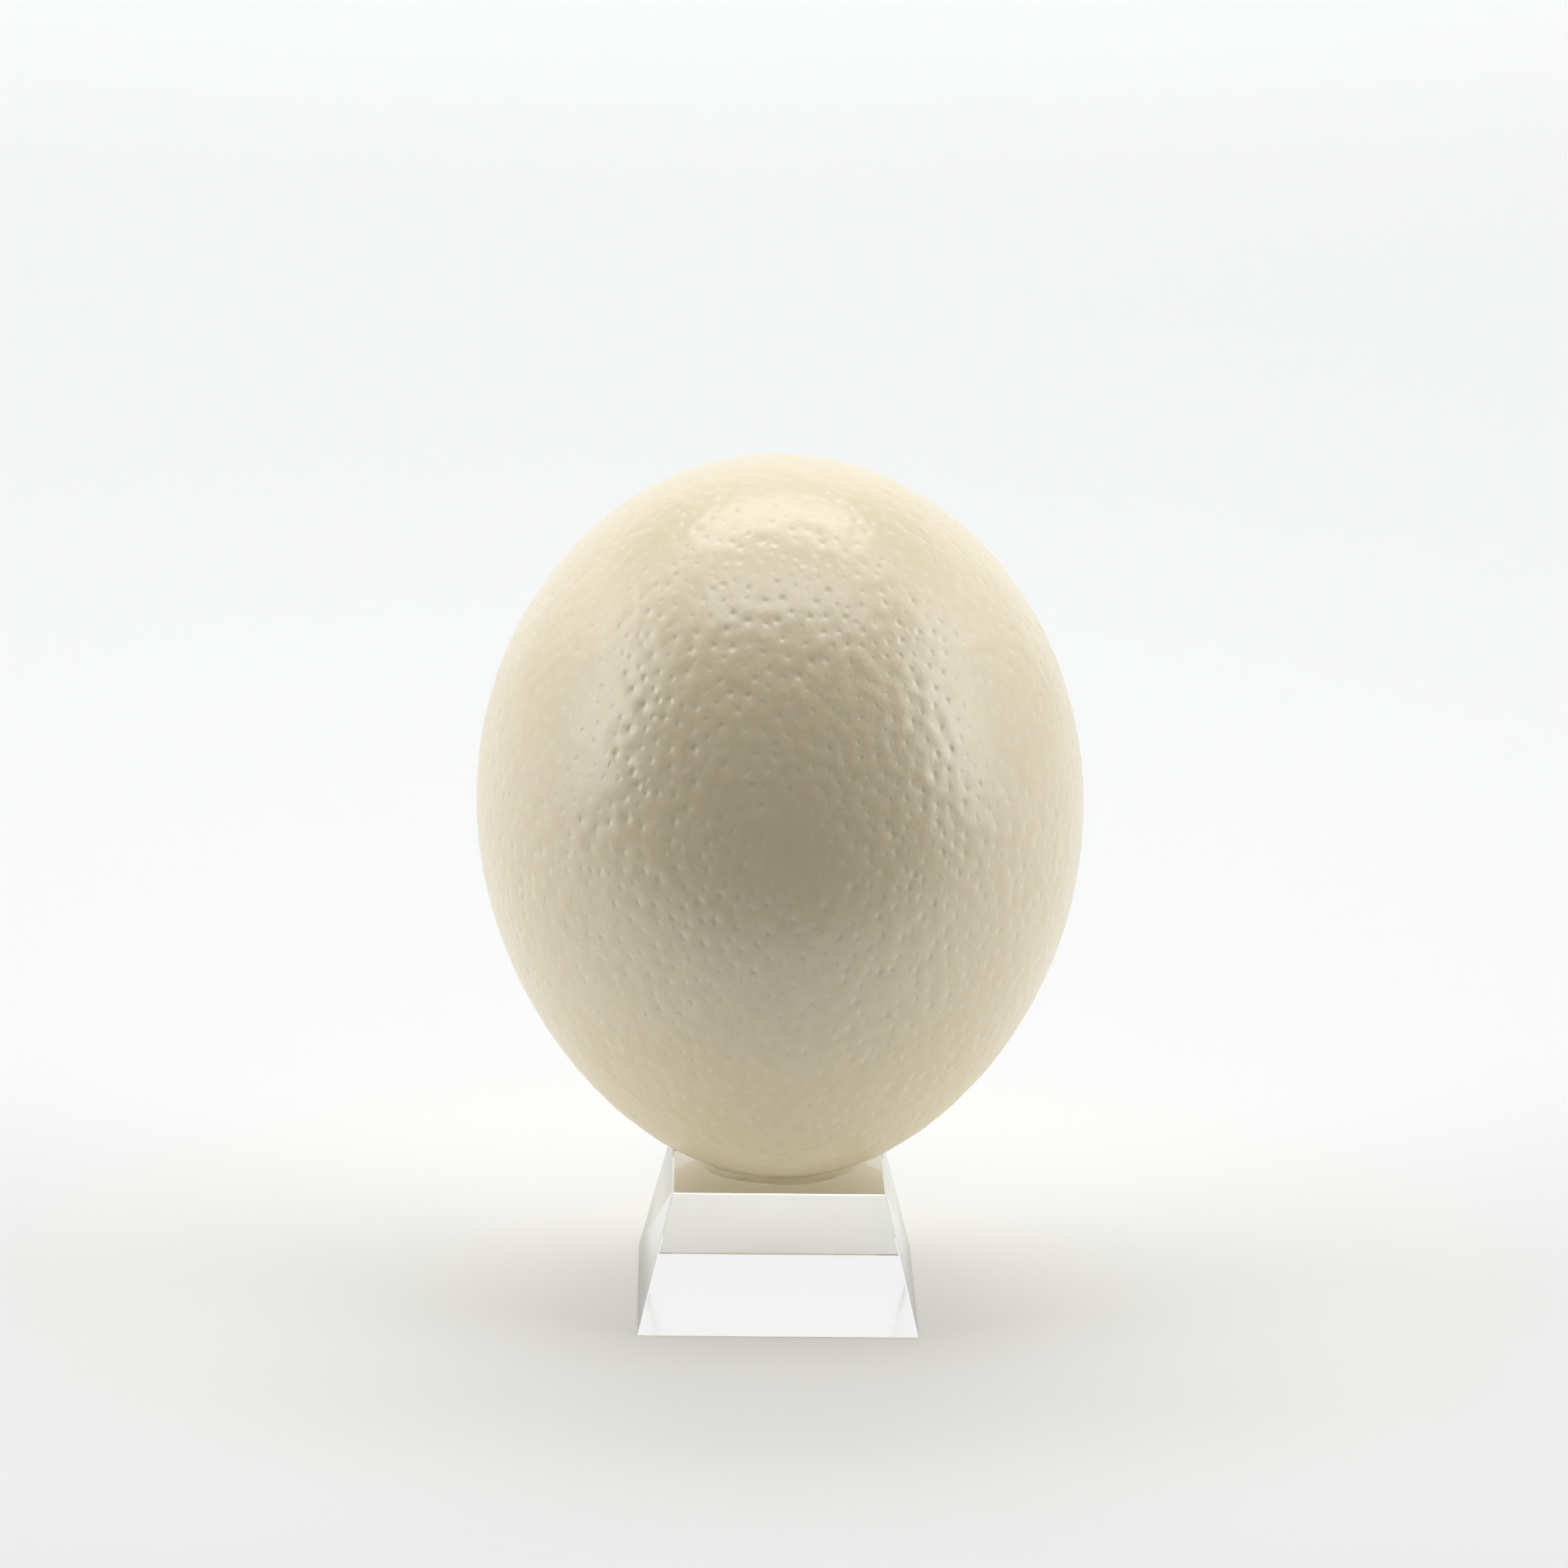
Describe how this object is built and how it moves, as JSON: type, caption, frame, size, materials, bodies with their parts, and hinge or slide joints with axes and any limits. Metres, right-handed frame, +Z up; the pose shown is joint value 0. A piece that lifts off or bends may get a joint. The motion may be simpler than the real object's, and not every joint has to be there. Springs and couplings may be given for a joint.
{
  "type": "ostrich egg on clear block stand",
  "caption": "Whole ostrich egg with a pitted cream shell, standing small end down in the shallow round seat of a clear block stand with leaning sides.",
  "frame": {"origin": "centre of the stand's bottom face, which is the surface that the object rests on", "axes": "+Z up through the stand and the egg's long axis, +X to the right and -Y towards a viewer who faces the stand's front face"},
  "size_m": [0.1294, 0.1292, 0.1845],
  "materials": {
    "eggshell": "satin",
    "clear_block": "polished"
  },
  "bodies": {
    "root": {"egg": "eggshell", "stand": "clear_block"}
  },
  "joints": []
}
